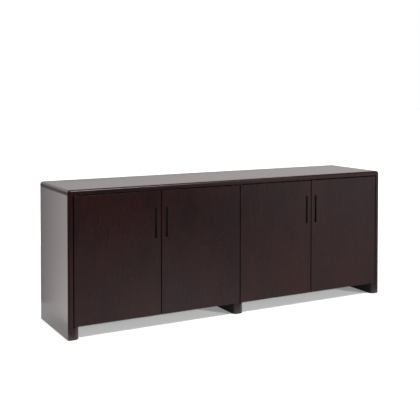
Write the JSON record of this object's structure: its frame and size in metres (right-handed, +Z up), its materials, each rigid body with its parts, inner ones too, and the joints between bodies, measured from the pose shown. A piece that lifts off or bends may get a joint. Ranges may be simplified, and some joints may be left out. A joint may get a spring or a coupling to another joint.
{
  "type": "office credenza",
  "caption": "Long low office credenza in dark veneer with hinged flush doors, recessed black pulls, inner shelves and panel feet.",
  "frame": {"origin": "on the floor under the middle of the cabinet", "axes": "+Z up, the doors face -Y, +X to the right when facing the doors"},
  "size_m": [1.98, 0.465, 0.75],
  "materials": {
    "case_veneer": "satin lacquered dark espresso veneer",
    "door_veneer": "satin lacquered dark espresso veneer, grain upright",
    "top_veneer": "satin lacquered dark espresso veneer, grain along the length",
    "foot_wood": "satin lacquered solid wood",
    "inside_board": "satin faced board",
    "dowel_wood": "bare turned wood",
    "pull_black": "fine satin black",
    "catch_plastic": "moulded satin",
    "hinge_steel": "dark bronze",
    "bright_steel": "zinc plated",
    "magnet": "nickel plated",
    "nylon": "moulded nylon"
  },
  "bodies": {
    "case": {"top_panel": "top_veneer", "end_panel_left": "case_veneer", "end_panel_right": "case_veneer", "end_foot_left": "foot_wood", "end_foot_right": "foot_wood", "centre_foot": "foot_wood", "partition": "inside_board", "bottom_panel_left": "inside_board", "bottom_panel_right": "inside_board", "front_rail_left": "inside_board", "front_rail_right": "inside_board", "rear_rail_left": "inside_board", "rear_rail_right": "inside_board", "shelf_left": "inside_board", "shelf_right": "inside_board", "back_panel_left": "inside_board", "back_panel_right": "inside_board", "shelf_pins": "bright_steel", "glides": "nylon", "dowels": "dowel_wood", "top_screws": "bright_steel", "foot_screws": "bright_steel", "back_screws": "bright_steel", "hardware_screws": "bright_steel", "pivot_pins": "bright_steel", "catch_left": "catch_plastic", "catch_right": "catch_plastic", "catch_magnets": "magnet", "pivot_plate_top_left": "hinge_steel", "pivot_plate_top_centre": "hinge_steel", "pivot_plate_top_right": "hinge_steel", "pivot_plate_bottom_left": "hinge_steel", "pivot_plate_bottom_centre": "hinge_steel", "pivot_plate_bottom_right": "hinge_steel", "pivot_washers": "nylon"},
    "door_1": {"door_1": "door_veneer", "door_1_leaf_top": "hinge_steel", "door_1_leaf_bottom": "hinge_steel", "door_1_strike": "bright_steel", "door_1_pull": "pull_black", "door_1_screws": "bright_steel"},
    "door_2": {"door_2": "door_veneer", "door_2_leaf_top": "hinge_steel", "door_2_leaf_bottom": "hinge_steel", "door_2_strike": "bright_steel", "door_2_pull": "pull_black", "door_2_screws": "bright_steel"},
    "door_3": {"door_3": "door_veneer", "door_3_leaf_top": "hinge_steel", "door_3_leaf_bottom": "hinge_steel", "door_3_strike": "bright_steel", "door_3_pull": "pull_black", "door_3_screws": "bright_steel"},
    "door_4": {"door_4": "door_veneer", "door_4_leaf_top": "hinge_steel", "door_4_leaf_bottom": "hinge_steel", "door_4_strike": "bright_steel", "door_4_pull": "pull_black", "door_4_screws": "bright_steel"}
  },
  "joints": [
    {"name": "door_1_hinge", "type": "hinge", "parent": "case", "child": "door_1", "pos_m": [-0.95, -0.227, 0.3925], "axis": [0, 0, -1], "range_deg": [0, 110]},
    {"name": "door_2_hinge", "type": "hinge", "parent": "case", "child": "door_2", "pos_m": [-0.0115, -0.227, 0.3925], "axis": [0, 0, 1], "range_deg": [0, 90]},
    {"name": "door_3_hinge", "type": "hinge", "parent": "case", "child": "door_3", "pos_m": [0.0115, -0.227, 0.3925], "axis": [0, 0, -1], "range_deg": [0, 90]},
    {"name": "door_4_hinge", "type": "hinge", "parent": "case", "child": "door_4", "pos_m": [0.95, -0.227, 0.3925], "axis": [0, 0, 1], "range_deg": [0, 110]}
  ]
}
